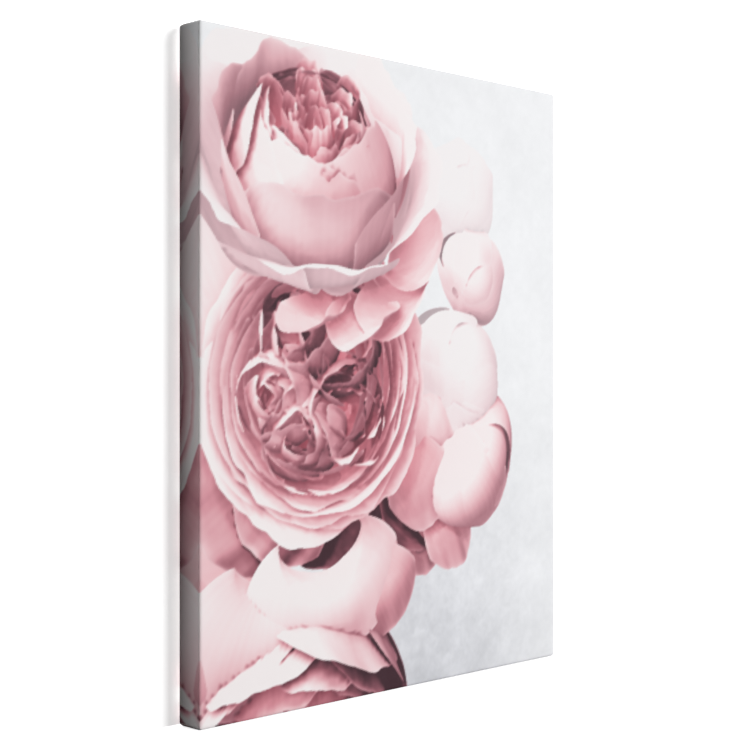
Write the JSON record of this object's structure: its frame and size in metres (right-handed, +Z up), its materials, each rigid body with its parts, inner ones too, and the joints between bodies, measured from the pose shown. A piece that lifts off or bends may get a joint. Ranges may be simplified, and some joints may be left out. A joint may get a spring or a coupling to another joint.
{
  "type": "stretched canvas print",
  "caption": "Picture printed on cloth, wrapped over a wooden stretcher frame and stapled behind, with corner wedges to tighten it and a toothed hanger for a wall nail.",
  "frame": {"origin": "where the wall nail bears, in the middle notch of the hanger", "axes": "+Z up, +Y towards the wall, and the picture faces -Y"},
  "size_m": [0.4, 0.0285, 0.5],
  "materials": {
    "printed_cloth": "matt print on woven cotton",
    "pine": "planed, bare",
    "beech": "sawn, bare",
    "steel": "galvanised",
    "zinc_plate": "zinc plated"
  },
  "bodies": {
    "root": {"canvas": "printed_cloth", "hanger_pin_left": "steel", "hanger_pin_right": "steel", "key_rail_bottom_left": "beech", "key_rail_bottom_right": "beech", "key_rail_top_left": "beech", "key_rail_top_right": "beech", "key_stile_bottom_left": "beech", "key_stile_bottom_right": "beech", "key_stile_top_left": "beech", "key_stile_top_right": "beech", "rail_bottom": "pine", "rail_top": "pine", "sawtooth_hanger": "zinc_plate", "staple_01": "steel", "staple_02": "steel", "staple_03": "steel", "staple_04": "steel", "staple_05": "steel", "staple_06": "steel", "staple_07": "steel", "staple_08": "steel", "staple_09": "steel", "staple_10": "steel", "staple_11": "steel", "staple_12": "steel", "staple_13": "steel", "staple_14": "steel", "staple_15": "steel", "staple_16": "steel", "staple_17": "steel", "staple_18": "steel", "staple_19": "steel", "staple_20": "steel", "staple_21": "steel", "staple_22": "steel", "staple_23": "steel", "staple_24": "steel", "staple_25": "steel", "staple_26": "steel", "staple_27": "steel", "staple_28": "steel", "staple_29": "steel", "staple_30": "steel", "staple_31": "steel", "staple_32": "steel", "staple_33": "steel", "staple_34": "steel", "staple_35": "steel", "staple_36": "steel", "staple_37": "steel", "staple_38": "steel", "staple_39": "steel", "staple_40": "steel", "stile_left": "pine", "stile_right": "pine"}
  },
  "joints": []
}
